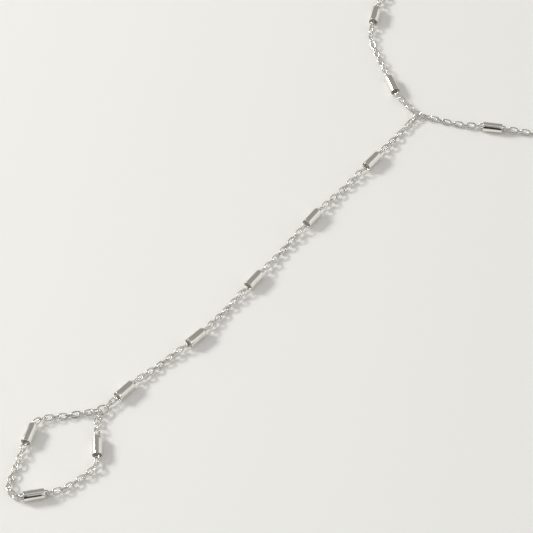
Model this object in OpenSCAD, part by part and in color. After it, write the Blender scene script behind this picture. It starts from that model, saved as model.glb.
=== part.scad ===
// A hand chain bracelet laid flat: a finger loop, a chain over the back of the
// hand and a wrist loop, all of one oval cable chain with plain tube beads.
// It lies on z = 0 with the hand chain along +Y and the finger loop at -Y.

/* [Chain] */
// Outer length of one oval link
link_length = 2.21; // [2.1:0.01:2.6]
// Thickness of the link wire
wire = 0.3; // [0.26:0.01:0.36]
// Clear gap where two parts hook into each other
gap = 0.22; // [0.16:0.01:0.26]
// Room on each side of a wire that passes through a link
side_play = 0.2; // [0.14:0.01:0.24]

/* [Tube beads] */
// Length of a bead's tube
bead_length = 4.3; // [3.1:0.2:6.1]
// Outer diameter of a bead
bead_diameter = 2.2; // [1.8:0.05:2.6]
// Wall of the tube at its open mouths
bead_wall = 0.12; // [0.1:0.01:0.15]
// Depth of each mouth, down to the end plate
mouth_depth = 0.3; // [0.15:0.05:0.6]
// Bevel round each end of the tube
bead_bevel = 0.06; // [0.03:0.01:0.09]
// Distance from a bead's end to the link in its eye
bead_stand_off = 0.22; // [0.15:0.01:0.5]

/* [Junction rings] */
// Outer diameter of the ring that closes the finger loop
finger_ring_d = 2.6; // [2.5:0.1:3.4]
// Wire thickness of that ring
finger_ring_wire = 0.38; // [0.34:0.02:0.44]
// Outer diameter of the ring that closes the wrist loop
wrist_ring_d = 2.2; // [2.1:0.1:3.2]
// Wire thickness of that ring
wrist_ring_wire = 0.38; // [0.34:0.02:0.44]

/* [Clasp] */
// Distance from the tail eye's centre to the claw loop's centre
clasp_length = 5; // [4:0.25:8]
// Outer width of the claw's body
clasp_width = 4.2; // [3.6:0.2:6]
// Width of the claw's rim
clasp_rim = 0.75; // [0.6:0.05:1]
// Outer diameter of the tail eye
tail_eye_d = 1.9; // [1.8:0.1:2.6]
// Width of the claw's body where it meets the tail eye
tail_width = 1.6; // [1.2:0.1:1.8]
// Wire of the tail eye and of the claw's nose
clasp_wire = 0.38; // [0.34:0.02:0.44]
// Diameter of the thumb knob
knob_d = 1; // [0.8:0.1:1.4]

/* [Link counts] */
// Links in each stretch of the finger loop: ring, three beads, ring
finger_stretches = [10, 11, 10, 4]; // [3:1:14]
// Links in each stretch over the hand: finger ring, five beads, wrist ring
hand_stretches = [2, 11, 11, 11, 11, 10]; // [2:1:14]
// Links in each stretch of the wrist's left half: ring, four beads, clasp
left_stretches = [5, 12, 12, 12, 6]; // [3:1:14]
// Links in each stretch of the wrist's right half: clasp, three beads, ring
right_stretches = [9, 12, 12, 10]; // [3:1:14]

/* [Slack] */
// How far each stretch of the finger loop is drawn out, where 1 is the usual spacing
finger_draw = [1, 0.93, 0.98, 1.02]; // [0.9:0.01:1.04]
// How far each stretch over the hand is drawn out
hand_draw = [1, 0.95, 0.93, 1.04, 1.04, 1.04]; // [0.9:0.01:1.04]

/* [Hidden] */
$fn = 32;
// How each stretch lies, from the centre of its first ring: corners as x, y and the
// radius that rounds them. Each is drawn to scale and then fitted to what it carries.
finger_route = [[0, 0, 0], [-8.9, -10.9, 3.2], [-0.7, -29.7, 2.7], [6.7, -20, 7.3], [8.4, -11.1, 3.5],
                [0.8, -2.8, 3], [0, 0, 0]];
hand_route = [[0, 0, 0], [0.4, 10, 20], [2.9, 27, 20], [2.2, 46, 30], [0.7, 70, 30], [0.8, 89, 30],
              [0, 106.9, 0]];
wrist_route = [[0, 0, 0], [-7.5, 1.4, 8], [-22.7, 11.2, 8], [-28, 21, 10], [-28, 53.5, 27],
               [28.5, 53.5, 27], [28.5, 16.7, 9], [9, 4, 15], [0, 0, 0]];

LINK = 0;
BEAD = 1;
CLASP = 2;

// Half a link's width to the middle of its wire, with room for the thickest wire it holds
bow_r = max(wire, finger_ring_wire, wrist_ring_wire, clasp_wire) / 2 + side_play + wire / 2;
link_side = (link_length - wire) / 2 - bow_r;
link_pitch = link_length - 2 * wire - gap;

// The eye's nose lies this far out of the tube's end, to the middle of its wire
eye_out = bead_stand_off + wire + gap + wire / 2;
bead_pitch = bead_length + 2 * (eye_out - (wire + gap) / 2);

nose_r = (clasp_width - clasp_wire) / 2;
claw_reach = nose_r - clasp_wire / 2 - gap / 2;
tail_reach = tail_eye_d / 2 - clasp_wire - gap / 2;
clasp_pitch = clasp_length + claw_reach + tail_reach;

// Links lie rolled to one side and the other, and stand on edge beside a flat ring
lean = 45;
turning_links = 4;
edge_height = bow_r + wire / 2;
settling_links = 5;
bead_height = bead_diameter / 2;
fall = (bead_height - bow_r * sin(lean) - wire / 2) / settling_links;
finger_ring_z = max(edge_height,
  bead_height - fall * min(finger_stretches[0], last(finger_stretches), hand_stretches[0]));
wrist_ring_z = max(edge_height,
  bead_height - fall * min(left_stretches[0], last(right_stretches), last(hand_stretches)));

function last(list) = list[len(list) - 1];
function total(list) = len(list) == 0 ? 0 : list * [for (i = list) 1];
function links(count) = [for (i = [1:count]) LINK];
function beaded(stretches) =
  [for (i = [0:len(stretches) - 1]) each concat(i > 0 ? [BEAD] : [], links(stretches[i]))];

// The room that each piece of a row takes, a stretch's links closer or further apart by its draw
function drawn(draw, i) = i < len(draw) ? draw[i] : 1;
function spaced(stretches, draw = []) =
  [for (i = [0:len(stretches) - 1])
    each concat(i > 0 ? [bead_pitch] : [], [for (n = [1:stretches[i]]) link_pitch * drawn(draw, i)])];

finger_row = beaded(finger_stretches);
hand_row = beaded(hand_stretches);
left_row = beaded(left_stretches);
right_row = beaded(right_stretches);
wrist_row = concat(left_row, [CLASP], right_row);
finger_rooms = spaced(finger_stretches, finger_draw);
hand_rooms = spaced(hand_stretches, hand_draw);
wrist_rooms = concat(spaced(left_stretches), [clasp_pitch], spaced(right_stretches));
function beads(row) = [for (i = [0:len(row) - 1]) if (row[i] == BEAD) i];

// The route as a fine line, with an arc at each corner between its two ends
function unit(v) = v / norm(v);
function corner(a, b, c, r, steps = 12) =
  let (u = unit(a - b), v = unit(c - b), half = acos(u * v) / 2, hub = b + unit(u + v) * r / sin(half),
       from = b + u * r / tan(half) - hub, to = b + v * r / tan(half) - hub)
  [for (k = [0:steps]) hub + r * unit(from * (steps - k) + to * k)];
function line(route) =
  let (p = [for (row = route) [row[0], row[1]]], end = len(p) - 1)
  concat([p[0]], [for (i = [1:end - 1]) each corner(p[i - 1], p[i], p[i + 1], route[i][2])], [p[end]]);
function distances(p) =
  [for (i = 0, s = 0; i < len(p); s = s + (i + 1 < len(p) ? norm(p[i + 1] - p[i]) : 0), i = i + 1) s];

// Where the row's joints are along the curve
function stations(rooms, start) =
  [for (i = 0, s = start; i <= len(rooms); s = s + (i < len(rooms) ? rooms[i] : 0), i = i + 1) s];

// The route fitted to its row: places on the ground of the joints, and of the far ring
function fitted(route, rooms, start, end) =
  let (p = line(route), along = distances(p), s = stations(rooms, start),
       fit = (last(s) + end) / last(along),
       x = [for (i = [0:len(p) - 1]) [along[i], p[i][0]] * fit],
       y = [for (i = [0:len(p) - 1]) [along[i], p[i][1]] * fit])
  [for (at = concat(s, last(s) + end)) [lookup(at, x), lookup(at, y)]];

// How a link is rolled: leaning by turns, and on edge beside a ring or the clasp
function side(i) = i % 2 == 0 ? 1 : -1;
function holders(row) = concat([-1, len(row)], [for (i = [0:len(row) - 1]) if (row[i] == CLASP) i]);
function roll(row, i) =
  lean * side(i) + total([for (h = holders(row))
    (90 - lean) * side(h + 1) * max(0, 1 - (abs(i - h) - 1) / turning_links)]);

// Height of a joint: what lies beside it rests on the ground, and the chain falls from each bead
function rest_height(row, i) =
  i < 0 || i >= len(row) || row[i] == CLASP ? edge_height :
  row[i] == BEAD ? bead_height : bow_r * abs(sin(roll(row, i))) + wire / 2;
function joint_height(row, j, start_z, end_z) =
  max(concat([rest_height(row, j - 1), rest_height(row, j)],
    [start_z - fall * j, end_z - fall * (len(row) - j)],
    [for (k = [0:len(row) - 1]) if (row[k] == BEAD) bead_height - fall * (j <= k ? k - j : j - k - 1)]));
function joints(spots, row, start_z, end_z) =
  [for (j = [0:len(row)]) [spots[j][0], spots[j][1], joint_height(row, j, start_z, end_z)]];

finger_reach = finger_ring_d / 2 - finger_ring_wire - gap / 2;
wrist_reach = wrist_ring_d / 2 - wrist_ring_wire - gap / 2;
finger_spots = fitted(finger_route, finger_rooms, finger_reach, finger_reach);
hand_spots = fitted(hand_route, hand_rooms, finger_reach, wrist_reach);
wrist_centre = last(hand_spots);
wrist_spots = [for (p = fitted(wrist_route, wrist_rooms, wrist_reach, wrist_reach)) p + wrist_centre];

// The middle of everything on the ground, which becomes the origin
clasp_at = len(left_row);
clasp_middle = (wrist_spots[clasp_at] + wrist_spots[clasp_at + 1]) / 2;
link_room = [1, 1] * edge_height;
all_spots = concat([for (p = concat(finger_spots, wrist_spots)) each [p - link_room, p + link_room]],
                   [clasp_middle + [0, clasp_width / 2]]);
all_x = [for (p = all_spots) p[0]];
all_y = [for (p = all_spots) p[1]];
middle = [min(all_x) + max(all_x), min(all_y) + max(all_y)] / 2;

finger_joints = joints(finger_spots, finger_row, finger_ring_z, finger_ring_z);
hand_joints = joints(hand_spots, hand_row, finger_ring_z, wrist_ring_z);
wrist_joints = joints(wrist_spots, wrist_row, wrist_ring_z, wrist_ring_z);

// Puts a piece that is drawn along X between joints i and i + 1
module between(points, i, turn = 0) {
  v = points[i + 1] - points[i];
  translate([-middle[0], -middle[1], 0])
    translate((points[i] + points[i + 1]) / 2)
      rotate([turn, -asin(v[2] / norm(v)), atan2(v[1], v[0])])
        children();
}

module round_wire(d, thickness) {
  rotate_extrude() translate([(d - thickness) / 2, 0]) circle(d = thickness);
}

// Half a ring of wire that bulges towards +X
module bow() {
  rotate([0, 0, -90]) rotate_extrude(angle = 180) translate([bow_r, 0]) circle(d = wire);
}

module bar(from_x, to_x, y) {
  translate([from_x, y, 0]) rotate([0, 90, 0]) cylinder(d = wire, h = to_x - from_x);
}

module link() {
  translate([link_side, 0, 0]) bow();
  rotate([0, 0, 180]) translate([link_side, 0, 0]) bow();
  bar(-link_side, link_side, bow_r);
  bar(-link_side, link_side, -bow_r);
}

module chain(points, row) {
  color("silver")
    for (i = [0:len(row) - 1])
      if (row[i] == LINK) between(points, i, roll(row, i)) link();
}

// A half link soldered to the tube's end plate, at the +X end
module eye() {
  x = bead_length / 2 + eye_out - bow_r;
  root = bead_length / 2 - mouth_depth - wire / 2;
  translate([x, 0, 0]) bow();
  bar(root, x, bow_r);
  bar(root, x, -bow_r);
}

module tube() {
  r = bead_diameter / 2;
  mouth_r = r - bead_wall;
  end = bead_length / 2;
  plate = end - mouth_depth;
  rotate([0, 90, 0]) rotate_extrude()
    polygon([[0, -plate], [mouth_r, -plate], [mouth_r, -end], [r - bead_bevel, -end], [r, bead_bevel - end],
             [r, end - bead_bevel], [r - bead_bevel, end], [mouth_r, end], [mouth_r, plate], [0, plate]]);
}

// The n-th bead of a row, each eye set across the link that it holds
module bead(points, row, n) {
  i = beads(row)[n - 1];
  color("silver") between(points, i) {
    tube();
    rotate([roll(row, i + 1) + 90, 0, 0]) eye();
    rotate([0, 0, 180]) rotate([-roll(row, i - 1) - 90, 0, 0]) eye();
  }
}

module junction_ring(centre, z, d, thickness) {
  color("silver") translate([centre[0] - middle[0], centre[1] - middle[1], z]) round_wire(d, thickness);
}

module finger_chain() { chain(finger_joints, finger_row); }
module hand_chain() { chain(hand_joints, hand_row); }
module wrist_chain() { chain(wrist_joints, wrist_row); }
module finger_ring() { junction_ring([0, 0], finger_ring_z, finger_ring_d, finger_ring_wire); }
module wrist_ring() { junction_ring(wrist_centre, wrist_ring_z, wrist_ring_d, wrist_ring_wire); }

// A plain closed claw: a wire nose for the last link, a flat body that rests on
// the ground, a thumb knob and a tail eye for the first link
module clasp() {
  body_r = clasp_width / 2;
  claw_x = (tail_reach + clasp_length - claw_reach) / 2;
  tail_x = claw_x - clasp_length;
  shoulder_angle = 120;
  shoulder = body_r * [cos(shoulder_angle), sin(shoulder_angle)];
  body_end = tail_x + (tail_eye_d - clasp_wire) / 2;
  color("silver") between(wrist_joints, clasp_at) {
    translate([claw_x, 0, 0]) round_wire(clasp_width, clasp_wire);
    translate([tail_x, 0, 0]) round_wire(tail_eye_d, clasp_wire);
    translate([0, 0, -edge_height]) linear_extrude(2 * edge_height) difference() {
      union() {
        translate([claw_x, 0]) intersection() {
          circle(r = body_r);
          translate([-body_r, -body_r]) square([body_r, 2 * body_r]);
        }
        polygon([[claw_x + shoulder[0], -shoulder[1]], [claw_x + shoulder[0], shoulder[1]],
                 [body_end, tail_width / 2], [body_end, -tail_width / 2]]);
        translate([claw_x + shoulder[0], shoulder[1]]) circle(d = knob_d);
      }
      translate([claw_x, 0]) circle(r = body_r - clasp_rim);
    }
  }
}

function bead_names(stem, row) = [for (n = [1:len(beads(row))]) str(stem, n)];
finger_beads = bead_names("finger_bead_", finger_row);
hand_beads = bead_names("hand_bead_", hand_row);
wrist_beads = bead_names("wrist_bead_", wrist_row);

for (n = [1:len(finger_beads)])
  bead(finger_joints, finger_row, n);
for (n = [1:len(hand_beads)])
  bead(hand_joints, hand_row, n);
for (n = [1:len(wrist_beads)])
  bead(wrist_joints, wrist_row, n);
finger_chain();
hand_chain();
wrist_chain();
finger_ring();
wrist_ring();
clasp();
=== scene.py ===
import math

import bpy
import numpy as np
from mathutils import Matrix, Vector


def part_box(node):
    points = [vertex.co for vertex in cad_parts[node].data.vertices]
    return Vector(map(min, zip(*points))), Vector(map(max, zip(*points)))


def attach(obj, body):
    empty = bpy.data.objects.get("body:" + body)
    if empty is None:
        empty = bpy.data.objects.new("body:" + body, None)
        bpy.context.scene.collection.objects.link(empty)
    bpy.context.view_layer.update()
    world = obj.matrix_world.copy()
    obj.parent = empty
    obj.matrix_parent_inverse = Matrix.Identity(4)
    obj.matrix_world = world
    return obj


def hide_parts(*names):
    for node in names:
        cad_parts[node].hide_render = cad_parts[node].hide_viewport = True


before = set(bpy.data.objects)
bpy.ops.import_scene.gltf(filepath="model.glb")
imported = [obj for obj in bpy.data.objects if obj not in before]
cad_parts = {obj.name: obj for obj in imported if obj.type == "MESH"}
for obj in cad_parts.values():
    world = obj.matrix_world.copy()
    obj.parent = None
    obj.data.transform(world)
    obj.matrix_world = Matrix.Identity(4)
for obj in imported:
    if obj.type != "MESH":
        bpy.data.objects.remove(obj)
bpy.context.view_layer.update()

MM = 0.001

# The sizes that the silversmith works to, in millimetres
LINK_LENGTH = 2.4
LINK_WIDTH = 1.44
LINK_WIRE = 0.28
TUBE_LENGTH = 4.3
TUBE_WIDTH = 2.2
TUBE_WALL = 0.12
RIM_ROUNDING = 0.055
LIP_ROUNDING = 0.03
MOUTH_DEPTH = 0.3
MOUTH_FILLET = 0.08
EYE_OUT = 0.89
EYE_BOW = 0.54
EYE_WIRE = 0.3
EYE_ROOT = 0.15
FINGER_RING = 2.6
WRIST_RING = 2.2
RING_WIRE = 0.38
CLASP_WIDTH = 4.2
CLASP_LENGTH = 5.0
CLASP_RIM = 0.75
CLASP_WIRE = 0.38
PLATE_THICKNESS = 1.38
PLATE_ROUNDING = 0.2
TAIL_EYE = 1.9
TAIL_WIDTH = 1.6
KNOB = 1.0
KNOB_DOME = 0.2

# Degrees round the claw from its nose: where its plate leaves the round for the tail, and its knob
TAIL_SHOULDER = 122
KNOB_TURN = 120

# A link's outline is an ellipse at 1 and fuller in its shoulders below it
LINK_FULLNESS = 0.8

# The camera: millimetres from the finger ring's middle, its way over the ground, degrees, and its lens
CAMERA_FROM_RING = (188.6, -197.7, 416.3)
CAMERA_FACING = (-0.601, 0.799, 0)
CAMERA_TILT = 53.25
CAMERA_ROLL = -3.5
CAMERA_LENS = 162.1
FILM_WIDTH = 36

# The studio: metres, and degrees of the card's lift
LAMP_DISTANCE = 1.2
CARD_DISTANCE = 1.35
CARD_ACROSS = 0.42
CARD_RISE = 1.05
CARD_LIFT = 42
FLOOR_REACH = 3.0
LAMP_TINT = (1.0, 0.99, 0.97)
SHEET_TINT = (1.0, 0.995, 0.98)
OVERHEAD_TINT = (1.0, 1.0, 0.98)
ROOM_TINT = (1.0, 0.99, 0.945, 1)
ROOM_GLOW = 0.33


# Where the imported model's pieces lie

def corners_of(node):
    """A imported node's points, and its triangles as rows of point numbers."""
    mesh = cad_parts[node].data
    mesh.calc_loop_triangles()
    points = np.empty(len(mesh.vertices) * 3)
    mesh.vertices.foreach_get("co", points)
    triangles = np.empty(len(mesh.loop_triangles) * 3, dtype=np.int32)
    mesh.loop_triangles.foreach_get("vertices", triangles)
    return points.reshape(-1, 3), triangles.reshape(-1, 3)


def loose_links(points, triangles):
    """Splits a chain's triangles into those of each loose link."""
    weld_within = 0.001 * MM
    grid = np.round(points / weld_within).astype(np.int64)
    welded = np.unique(grid, axis=0, return_inverse=True)[1].reshape(-1)
    joined_at = welded[triangles]
    link = np.arange(welded.max() + 1)
    while True:
        lowest = link[joined_at].min(axis=1)
        merged = link.copy()
        for corner in range(3):
            np.minimum.at(merged, joined_at[:, corner], lowest)
        merged = merged[merged]
        if (merged == link).all():
            break
        link = merged
    owner = link[joined_at[:, 0]]
    return [triangles[owner == each] for each in np.unique(owner)]


def lie_of(points, triangles):
    """The middle of a surface, and its long, wide and thin directions as rows."""
    a, b, c = (points[triangles[:, corner]] for corner in range(3))
    area = np.linalg.norm(np.cross(b - a, c - a), axis=1)
    spots = (a + b + c) / 3
    middle = (area[:, None] * spots).sum(axis=0) / area.sum()
    arms = spots - middle
    wide, long = np.linalg.eigh((arms.T * area) @ arms)[1].T[1:]
    return middle, np.array([long, wide, np.cross(long, wide)])


def middle_of(node):
    """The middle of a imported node's box."""
    low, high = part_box(node)
    return [(a + b) / 2 for a, b in zip(low, high)]


def placed(middle, axes):
    """A matrix that turns x, y and z to the rows of axes, and moves to middle."""
    turn = Matrix([[float(axes[column][row]) for column in range(3)] for row in range(3)])
    return Matrix.Translation(Vector([float(v) for v in middle])) @ turn.to_4x4()


# Wire, tube and plate

def arc(middle, radius, start, end, steps):
    """Points on an arc in the flat, from one angle to another in degrees."""
    turns = np.radians(np.linspace(start, end, steps + 1))
    return [(middle[0] + radius * math.cos(t), middle[1] + radius * math.sin(t)) for t in turns]


def bent_wire(path, wire, closed, sides=14):
    """Round wire along a flat path: points in millimetres, and faces."""
    path = np.array(path)
    count = len(path)
    ahead = np.roll(path, -1, axis=0)
    behind = np.roll(path, 1, axis=0)
    if not closed:
        ahead[-1] = 2 * path[-1] - path[-2]
        behind[0] = 2 * path[0] - path[1]
    along = ahead - behind
    along /= np.linalg.norm(along, axis=1)[:, None]
    outward = np.stack([along[:, 1], -along[:, 0]], axis=1)
    turns = np.linspace(0, 2 * math.pi, sides, endpoint=False)
    rings = np.zeros((count, sides, 3))
    rings[:, :, :2] = path[:, None, :] + wire / 2 * np.cos(turns)[None, :, None] * outward[:, None, :]
    rings[:, :, 2] = wire / 2 * np.sin(turns)[None, :]
    faces = []
    for step in range(count if closed else count - 1):
        here = step * sides
        there = (step + 1) % count * sides
        for side in range(sides):
            beside = (side + 1) % sides
            faces.append((here + side, here + beside, there + beside, there + side))
    if not closed:
        faces.append(tuple(reversed(range(sides))))
        faces.append(tuple(range((count - 1) * sides, count * sides)))
    return rings.reshape(-1, 3), faces


def oval_link(steps=36):
    """One soldered link, an oval with slightly full shoulders and its long way along x."""
    half_length = (LINK_LENGTH - LINK_WIRE) / 2
    half_width = (LINK_WIDTH - LINK_WIRE) / 2
    oval = []
    for turn in np.linspace(0, 2 * math.pi, steps, endpoint=False):
        ahead, aside = math.cos(turn), math.sin(turn)
        oval.append((half_length * math.copysign(abs(ahead) ** LINK_FULLNESS, ahead),
                     half_width * math.copysign(abs(aside) ** LINK_FULLNESS, aside)))
    return bent_wire(oval, LINK_WIRE, closed=True)


def round_ring(across, wire):
    """A soldered round ring that lies flat."""
    turn = arc((0, 0), (across - wire) / 2, 0, 360, 64)
    return bent_wire(turn[:-1], wire, closed=True, sides=20)


def turned(profile, steps=72):
    """Turns a profile of (along, radius) points round x, closed where the radius is 0."""
    points = []
    rows = []
    for along, radius in profile:
        if radius == 0:
            rows.append([len(points)] * steps)
            points.append((along, 0, 0))
            continue
        rows.append(list(range(len(points), len(points) + steps)))
        for step in range(steps):
            turn = 2 * math.pi * step / steps
            points.append((along, radius * math.cos(turn), radius * math.sin(turn)))
    faces = []
    for row, following in zip(rows, rows[1:]):
        for step in range(steps):
            beside = (step + 1) % steps
            face = (row[step], row[beside], following[beside], following[step])
            faces.append(tuple(dict.fromkeys(face)))
    return np.array(points), faces


def tube_bead():
    """A polished tube with rounded rims and a plate sunk in each mouth."""
    half = TUBE_LENGTH / 2
    plate = half - MOUTH_DEPTH
    outer = TUBE_WIDTH / 2
    mouth = outer - TUBE_WALL
    end = [(plate, 0), (plate, mouth - MOUTH_FILLET)]
    end += arc((plate + MOUTH_FILLET, mouth - MOUTH_FILLET), MOUTH_FILLET, 150, 90, 2)
    end += arc((half - LIP_ROUNDING, mouth + LIP_ROUNDING), LIP_ROUNDING, -90, 0, 2)
    end += arc((half - RIM_ROUNDING, outer - RIM_ROUNDING), RIM_ROUNDING, 0, 90, 4)
    profile = end + [(half * share, outer) for share in (0.6, 0.2, -0.2, -0.6)]
    profile += [(-along, radius) for along, radius in reversed(end)]
    return turned(profile)


def bead_eye():
    """The wire eye that stands in a tube's mouth and holds the next link."""
    nose = TUBE_LENGTH / 2 + EYE_OUT - EYE_BOW
    foot = TUBE_LENGTH / 2 - MOUTH_DEPTH - EYE_ROOT
    path = [(foot, -EYE_BOW), ((foot + nose) / 2, -EYE_BOW)]
    path += arc((nose, 0), EYE_BOW, -90, 90, 18)
    path += [((foot + nose) / 2, EYE_BOW), (foot, EYE_BOW)]
    return bent_wire(path, EYE_WIRE, closed=False)


def joined(parts):
    """Joins (points, faces, matrix) parts, points in millimetres, into one list of each."""
    points = []
    faces = []
    for part_points, part_faces, place in parts:
        start = len(points)
        turn = np.array(place.to_3x3())
        move = np.array(place.to_translation())
        points.extend((part_points * MM @ turn.T + move).tolist())
        faces.extend(tuple(start + point for point in face) for face in part_faces)
    return points, faces


def piece(name, parts, finish, stands_for, sharp=35, lie=Matrix.Identity(4)):
    """Makes one piece from its parts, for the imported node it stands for, sharp past some degrees.

    The parts are given in the piece's own frame, and lie is where that frame lies.
    """
    mesh = bpy.data.meshes.new(name)
    points, faces = joined(parts)
    mesh.from_pydata(points, [], faces)
    mesh.update()
    mesh.polygons.foreach_set("use_smooth", [True] * len(mesh.polygons))
    mesh.set_sharp_from_angle(angle=math.radians(sharp))
    mesh.materials.append(finish)
    made = bpy.data.objects.new(name, mesh)
    bpy.context.scene.collection.objects.link(made)
    made.matrix_world = lie
    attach(made, "root")
    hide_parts(stands_for)
    return made


# Finishes

class Feed:
    """One shader socket: an expression on feeds adds its Math nodes."""

    def __init__(self, finish, socket):
        self.finish = finish
        self.socket = socket

    def _with(self, operation, *values):
        return self.finish.node("ShaderNodeMath", {"operation": operation}, dict(enumerate(values)))

    def __add__(self, other):
        return self._with("ADD", self, other)

    def __radd__(self, other):
        return self._with("ADD", other, self)

    def __sub__(self, other):
        return self._with("SUBTRACT", self, other)

    def __rsub__(self, other):
        return self._with("SUBTRACT", other, self)

    def __mul__(self, other):
        return self._with("MULTIPLY", self, other)

    def __rmul__(self, other):
        return self._with("MULTIPLY", other, self)


class Finish:
    """A material in the making."""

    def __init__(self, name):
        self.material = bpy.data.materials.new(name)
        self.material.use_nodes = True
        self.tree = self.material.node_tree
        self.tree.nodes.clear()

    def node(self, kind, settings=None, inputs=None, out=0):
        """Adds a node: its settings first, then its sockets' values or links."""
        made = self.tree.nodes.new(kind)
        for name, value in (settings or {}).items():
            setattr(made, name, value)
        for name, value in (inputs or {}).items():
            if isinstance(value, Feed):
                self.tree.links.new(value.socket, made.inputs[name])
            else:
                made.inputs[name].default_value = value
        return Feed(self, made.outputs[out]) if len(made.outputs) else None

    def place(self):
        """A point's place on its own piece, in metres."""
        return self.node("ShaderNodeTexCoord", out="Object")

    def stretched(self, place, by):
        """A place with each of its three directions multiplied."""
        return self.node("ShaderNodeVectorMath", {"operation": "MULTIPLY"}, {0: place, 1: by})

    def length(self, vector):
        return self.node("ShaderNodeVectorMath", {"operation": "LENGTH"}, {0: vector}, "Value")

    def cloud(self, place, scale, detail=2.0):
        """Soft noise from 0 to 1, with scale patches to the metre."""
        return self.node("ShaderNodeTexNoise", None,
                         {"Vector": place, "Scale": scale, "Detail": detail, "Roughness": 0.55})

    def between(self, feed, low, high):
        """0 where the feed is under low, 1 where it is over high, smooth between."""
        return self.node("ShaderNodeMapRange", {"interpolation_type": "SMOOTHSTEP"},
                         {"Value": feed, "From Min": low, "From Max": high})

    def blended(self, share, first, second):
        """One colour turning into another as share goes from 0 to 1."""
        return self.node("ShaderNodeMix", {"data_type": "RGBA"},
                         {0: share, 6: first, 7: second}, 2)

    def bumped(self, height, depth):
        """Small relief, depth metres high where the height is 1."""
        return self.node("ShaderNodeBump", None,
                         {"Height": height, "Distance": depth, "Strength": 1.0})

    def surface(self, inputs):
        """Ends the material with one shader."""
        shader = self.node("ShaderNodeBsdfPrincipled", None, inputs)
        self.node("ShaderNodeOutputMaterial", None, {"Surface": shader})
        return self.material


def painted_mouth_shade_share(finish, place):
    """A share of painted shade: 1 in a tube's mouths, where painted shade darkens the hollow, and 0 elsewhere
    and on the eyes.
    """
    bore = (TUBE_WIDTH / 2 - TUBE_WALL) * MM
    half = TUBE_LENGTH / 2 * MM
    plate = half - MOUTH_DEPTH * MM
    eye = (EYE_BOW + EYE_WIRE / 2) * MM
    bore_edge = (bore - 0.06 * MM, bore + 0.02 * MM)
    rim_edge = (half - 0.1 * MM, half + 0.1 * MM)
    plate_edge = (plate, plate + 0.04 * MM)
    eye_edge = (eye, eye + 0.04 * MM)
    radius = finish.length(finish.stretched(place, (0.0, 1.0, 1.0)))
    along = finish.length(finish.stretched(place, (1.0, 0.0, 0.0)))
    inside = 1.0 - finish.between(radius, *bore_edge)
    sunk = 1.0 - finish.between(along, *rim_edge)
    on_eye = (1.0 - finish.between(radius, *eye_edge)) * finish.between(along, *plate_edge)
    return inside * sunk * (1.0 - on_eye)


def silver(name, bright, worn, shine, buffed, painted_shade_share=None):
    """Polished silver: bright metal, a breath of tarnish, buffing lines and hairlines, and painted shade
    where a shade share is given.

    The buffing lines have so many waves to the metre along, across and through the piece.
    """
    tarnish_to_the_metre = 420.0
    hairline_waves = (2600.0, 900.0, 1700.0)
    dimples_to_the_metre = 1500.0
    # painted shade: the dark colour laid in a tube's mouths for the shade inside the hollow
    painted_shade_silver = (0.3, 0.292, 0.27, 1)
    relief = 0.0012 * MM

    finish = Finish(name)
    place = finish.place()
    tarnish = finish.between(finish.cloud(place, tarnish_to_the_metre, 3.0), 0.42, 0.72)
    buffing = finish.cloud(finish.stretched(place, buffed), 1.0, 3.0)
    scratches = finish.cloud(finish.stretched(place, hairline_waves), 1.0, 1.0)
    hairlines = finish.between(scratches, 0.62, 0.7)
    dimples = finish.cloud(place, dimples_to_the_metre, 1.0)
    color = finish.blended(tarnish * 0.7, bright, worn)
    roughness = shine + 0.07 * tarnish + 0.06 * buffing + 0.08 * hairlines
    if painted_shade_share:
        # painted shade: darkens and dulls the tube's mouths to stand in for the shade inside them
        painted_shade = painted_shade_share(finish, place)
        color = finish.blended(painted_shade, color, painted_shade_silver)
        roughness = roughness + 0.25 * painted_shade
    height = 0.5 * buffing + 0.2 * hairlines + 0.5 * dimples
    return finish.surface({
        "Base Color": color,
        "Metallic": 1.0,
        "Roughness": roughness,
        "Normal": finish.bumped(height, relief),
    })


def white_board():
    """Smooth white card with a faint grain."""
    grains_to_the_metre = 900.0
    patches_to_the_metre = 6.0
    greyer = (0.918, 0.914, 0.895, 1)
    whiter = (0.932, 0.928, 0.91, 1)

    finish = Finish("white_board")
    place = finish.place()
    grain = finish.cloud(place, grains_to_the_metre, 3.0)
    patches = finish.cloud(place, patches_to_the_metre, 1.0)
    return finish.surface({
        "Base Color": finish.blended(patches, greyer, whiter),
        "Roughness": 0.7 + 0.1 * grain,
        "Normal": finish.bumped(grain, 0.01 * MM),
    })


def dark_felt():
    """Nearly black, for the card that the metal mirrors."""
    patches_to_the_metre = 4.0
    darker = (0.03, 0.03, 0.028, 1)
    lighter = (0.05, 0.05, 0.046, 1)

    finish = Finish("dark_card")
    patches = finish.cloud(finish.place(), patches_to_the_metre)
    return finish.surface({
        "Base Color": finish.blended(patches, darker, lighter),
        "Roughness": 0.9,
    })


# the beads carry painted shade in their mouths
bead_silver = silver("bead_silver", bright=(0.88, 0.868, 0.825, 1), worn=(0.78, 0.76, 0.7, 1), shine=0.05,
                     buffed=(250.0, 9000.0, 9000.0), painted_shade_share=painted_mouth_shade_share)
chain_silver = silver("chain_silver", bright=(0.77, 0.76, 0.725, 1), worn=(0.58, 0.565, 0.515, 1),
                      shine=0.06, buffed=(2500.0, 2500.0, 2500.0))
ring_silver = silver("ring_silver", bright=(0.84, 0.828, 0.788, 1), worn=(0.68, 0.66, 0.6, 1), shine=0.07,
                     buffed=(3000.0, 3000.0, 3000.0))
clasp_silver = silver("clasp_silver", bright=(0.85, 0.838, 0.797, 1), worn=(0.69, 0.67, 0.61, 1),
                      shine=0.11, buffed=(900.0, 5000.0, 5000.0))


# The chains

def lay_chain(name, node):
    """Lays a finished link on each loose link of a packed chain."""
    shape = oval_link()
    points, triangles = corners_of(node)
    parts = [(*shape, placed(*lie_of(points, link))) for link in loose_links(points, triangles)]
    return piece(name, parts, chain_silver, node)


for stretch in ("finger", "hand", "wrist"):
    lay_chain(stretch + "_links", stretch + "_chain")


# The tube beads

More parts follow.
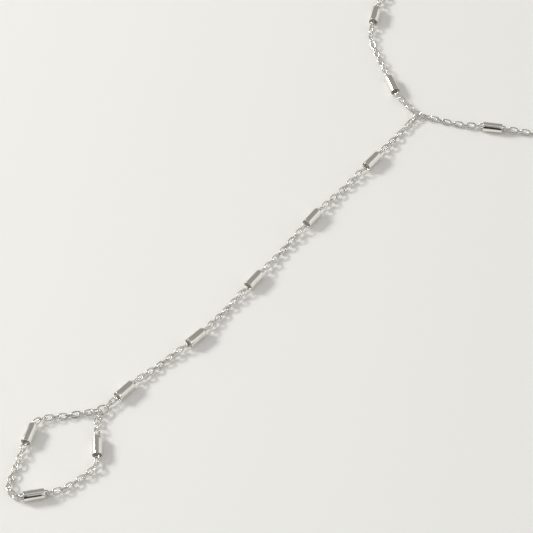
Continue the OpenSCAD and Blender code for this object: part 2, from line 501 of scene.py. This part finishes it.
def bead_lie(node):
    """A bead's place and long direction, and the wide direction of the eye at each of its ends."""
    clear_of_the_mouth = 0.25
    points, triangles = corners_of(node)
    middle, axes = lie_of(points, triangles)
    long = axes[0]
    spots = points[triangles].mean(axis=1)
    along = (spots - middle) @ long
    eyes = []
    for end in (1, -1):
        standing = triangles[along * end > (TUBE_LENGTH / 2 + clear_of_the_mouth) * MM]
        eye_axes = lie_of(points, standing)[1]
        flat = [axis - (axis @ long) * long for axis in eye_axes]
        wide = max(flat, key=lambda axis: spread_along(points[standing], axis))
        eyes.append(wide / np.linalg.norm(wide))
    return middle, long, eyes


def spread_along(points, axis, shortest=0.2):
    """How far points spread along an axis, or 0 for an axis with almost no length left."""
    length = np.linalg.norm(axis)
    if length < shortest:
        return 0.0
    return np.ptp(points.reshape(-1, 3) @ (axis / length))


def set_bead(node):
    """Sets a tube with its two eyes on a packed bead, in a frame whose x runs along the tube."""
    middle, long, eyes = bead_lie(node)
    side = np.cross((0.0, 0.0, 1.0), long)
    side /= np.linalg.norm(side)
    lie = placed(middle, [long, side, np.cross(long, side)])
    parts = [(*tube_bead(), Matrix.Identity(4))]
    for end, wide in zip((1, -1), eyes):
        eye_lie = placed(middle, [long * end, wide, np.cross(long * end, wide)])
        parts.append((*bead_eye(), lie.inverted() @ eye_lie))
    return piece(node.replace("bead", "tube"), parts, bead_silver, node, lie=lie)


for bead in sorted(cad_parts):
    if "_bead_" in bead:
        set_bead(bead)


# The rings

def set_ring(name, node, across):
    """Lays a soldered ring on a packed ring."""
    place = Matrix.Translation(Vector(middle_of(node)))
    return piece(name, [(*round_ring(across, RING_WIRE), place)], ring_silver, node)


set_ring("finger_jump_ring", "finger_ring", FINGER_RING)
set_ring("wrist_jump_ring", "wrist_ring", WRIST_RING)


# The clasp

def clasp_lie():
    """The claw's centre, with x from the tail eye to the claw and z up."""
    near_the_end = 0.5 * MM
    points, triangles = corners_of("clasp")
    middle, axes = lie_of(points, triangles)
    long = axes[0] * (1, 1, 0)
    long /= np.linalg.norm(long)
    ends = []
    for way in (1, -1):
        along = (points - middle) @ long * way
        ends.append(points[along > along.max() - near_the_end])
    widths = [np.ptp(end @ np.array([-long[1], long[0], 0])) for end in ends]
    nose, tail = (ends[0], ends[1]) if widths[0] > widths[1] else (ends[1], ends[0])
    nose_spot, tail_spot = [(end.min(axis=0) + end.max(axis=0)) / 2 for end in (nose, tail)]
    forward = (nose_spot - tail_spot) * (1, 1, 0)
    forward /= np.linalg.norm(forward)
    tip = ((points - nose_spot) @ forward).max()
    claw = nose_spot + forward * (tip - CLASP_WIDTH / 2 * MM)
    return placed(claw, [forward, np.array([-forward[1], forward[0], 0]), np.array([0, 0, 1.0])])


def claw_outline():
    """The claw's outline in the flat: round the back, over the tail and back along the opening."""
    outer = CLASP_WIDTH / 2 - PLATE_ROUNDING
    inner = CLASP_WIDTH / 2 - CLASP_RIM + PLATE_ROUNDING
    tail_x = -CLASP_LENGTH + (TAIL_EYE - CLASP_WIRE) / 2 + PLATE_ROUNDING
    half_tail = TAIL_WIDTH / 2 - PLATE_ROUNDING
    outline = arc((0, 0), outer, 90, TAIL_SHOULDER, 10)
    outline += [(tail_x, half_tail), (tail_x, -half_tail)]
    outline += arc((0, 0), outer, 360 - TAIL_SHOULDER, 270, 10)
    outline += arc((0, 0), inner, 270, 90, 40)
    return outline


def claw_plate():
    """The flat claw body with rounded edges, as points in millimetres and faces."""
    outline = claw_outline()
    curve = bpy.data.curves.new("claw_outline", "CURVE")
    curve.dimensions = "2D"
    curve.fill_mode = "BOTH"
    curve.extrude = (PLATE_THICKNESS / 2 - PLATE_ROUNDING) * MM
    curve.bevel_depth = PLATE_ROUNDING * MM
    curve.bevel_resolution = 4
    spline = curve.splines.new("POLY")
    spline.points.add(len(outline) - 1)
    spline.use_cyclic_u = True
    for point, (x, y) in zip(spline.points, outline):
        point.co = (x * MM, y * MM, 0, 1)
    holder = bpy.data.objects.new("claw_outline", curve)
    bpy.context.scene.collection.objects.link(holder)
    bpy.context.view_layer.update()
    mesh = bpy.data.meshes.new_from_object(holder.evaluated_get(bpy.context.evaluated_depsgraph_get()))
    points = np.array([tuple(vertex.co) for vertex in mesh.vertices]) / MM
    faces = [tuple(face.vertices) for face in mesh.polygons]
    bpy.data.objects.remove(holder)
    bpy.data.curves.remove(curve)
    bpy.data.meshes.remove(mesh)
    return points, faces


def thumb_knob():
    """The thumb knob: a short post with a domed face on each side."""
    half = PLATE_THICKNESS / 2
    profile = [(half, 0)]
    profile += arc((half - KNOB_DOME, KNOB / 2 - KNOB_DOME), KNOB_DOME, 0, 90, 5)
    profile += [(-along, radius) for along, radius in reversed(profile)]
    points, faces = turned(profile, 32)
    return points[:, [1, 2, 0]], faces


def set_clasp():
    """Sets the closed claw, its wire rim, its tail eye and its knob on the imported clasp."""
    place = clasp_lie()
    turn = math.radians(KNOB_TURN)
    shoulder = Vector((math.cos(turn), math.sin(turn), 0)) * (CLASP_WIDTH / 2 * MM)
    tail = Vector((-CLASP_LENGTH * MM, 0, 0))
    parts = [
        (*claw_plate(), place),
        (*round_ring(CLASP_WIDTH, CLASP_WIRE), place),
        (*round_ring(TAIL_EYE, CLASP_WIRE), place @ Matrix.Translation(tail)),
        (*thumb_knob(), place @ Matrix.Translation(shoulder)),
    ]
    return piece("claw_clasp", parts, clasp_silver, "clasp", sharp=50)


set_clasp()


# The studio

camera_forward = Vector(CAMERA_FACING).normalized()
camera_right = Vector((camera_forward.y, -camera_forward.x, 0))
up = Vector((0, 0, 1))


def toward(around, height):
    """A direction: degrees round from straight behind the object, and degrees up."""
    swing = math.radians(around)
    lift = math.radians(height)
    level = math.sin(swing) * camera_right + math.cos(swing) * camera_forward
    return math.cos(lift) * level + math.sin(lift) * up


def set_camera():
    """The camera stands up and off to the right, and looks down at the bracelet."""
    tilt = math.radians(CAMERA_TILT)
    roll = math.radians(CAMERA_ROLL)
    ahead = math.cos(tilt) * camera_forward - math.sin(tilt) * up
    over = math.sin(tilt) * camera_forward + math.cos(tilt) * up
    image_right = math.cos(roll) * camera_right - math.sin(roll) * over
    image_up = math.sin(roll) * camera_right + math.cos(roll) * over
    data = bpy.data.cameras.new("studio_camera")
    data.sensor_fit = "HORIZONTAL"
    data.sensor_width = FILM_WIDTH
    data.lens = CAMERA_LENS
    data.clip_start = 0.01
    data.clip_end = 20
    camera = bpy.data.objects.new("studio_camera", data)
    bpy.context.scene.collection.objects.link(camera)
    spot = Vector(middle_of("finger_ring")) + Vector(CAMERA_FROM_RING) * MM
    camera.matrix_world = placed(spot, [image_right, image_up, -ahead])
    bpy.context.scene.camera = camera


def softbox(name, around, height, width, tall, glow, tint):
    """A soft lamp that looks at the row's origin: place and size in degrees, and radiance."""
    way = toward(around, height)
    data = bpy.data.lights.new(name, "AREA")
    data.shape = "RECTANGLE"
    data.size = 2 * LAMP_DISTANCE * math.tan(math.radians(width / 2))
    data.size_y = 2 * LAMP_DISTANCE * math.tan(math.radians(tall / 2))
    data.energy = glow * math.pi * data.size * data.size_y
    data.color = tint
    lamp = bpy.data.objects.new(name, data)
    lamp.location = way * LAMP_DISTANCE
    lamp.rotation_euler = way.to_track_quat("Z", "Y").to_euler()
    bpy.context.scene.collection.objects.link(lamp)


def stage_card(name, middle, across, rise, finish):
    """A flat card of the studio, twice across wide and twice rise tall."""
    mesh = bpy.data.meshes.new(name)
    corners = [middle - across - rise, middle + across - rise, middle + across + rise, middle - across + rise]
    mesh.from_pydata([tuple(corner) for corner in corners], [], [(0, 1, 2, 3)])
    mesh.materials.append(finish)
    card = bpy.data.objects.new(name, mesh)
    bpy.context.scene.collection.objects.link(card)


def set_floor():
    """The white board that the bracelet lies on."""
    across = Vector((FLOOR_REACH, 0, 0))
    rise = Vector((0, FLOOR_REACH, 0))
    stage_card("studio_floor", Vector((0, 0, 0)), across, rise, white_board())


def set_dark_card():
    """A dark card behind the camera, which the metal shows as its darkest line."""
    way = toward(180, CARD_LIFT)
    rise = way.cross(camera_right).normalized() * CARD_RISE
    stage_card("dark_card", way * CARD_DISTANCE, camera_right * CARD_ACROSS, rise, dark_felt())


def set_room_light():
    """A faint even light from all round, a little warm."""
    world = bpy.data.worlds.new("studio_room")
    world.use_nodes = True
    bpy.context.scene.world = world
    back = world.node_tree.nodes["Background"]
    back.inputs["Color"].default_value = ROOM_TINT
    back.inputs["Strength"].default_value = ROOM_GLOW


bpy.context.scene.view_settings.view_transform = "Standard"
set_camera()
set_room_light()
set_floor()
softbox("lamp", around=-73, height=30, width=17, tall=11, glow=36.5, tint=LAMP_TINT)
softbox("left_sheet", around=-74, height=14, width=50, tall=36, glow=0.75, tint=SHEET_TINT)
softbox("overhead", around=90, height=86, width=24, tall=30, glow=0.3, tint=OVERHEAD_TINT)
softbox("right_sheet", around=80, height=28, width=62, tall=50, glow=0.5, tint=SHEET_TINT)
softbox("near_right_sheet", around=138, height=44, width=42, tall=56, glow=0.5, tint=SHEET_TINT)
softbox("near_left_sheet", around=-128, height=44, width=50, tall=60, glow=0.55, tint=SHEET_TINT)
set_dark_card()
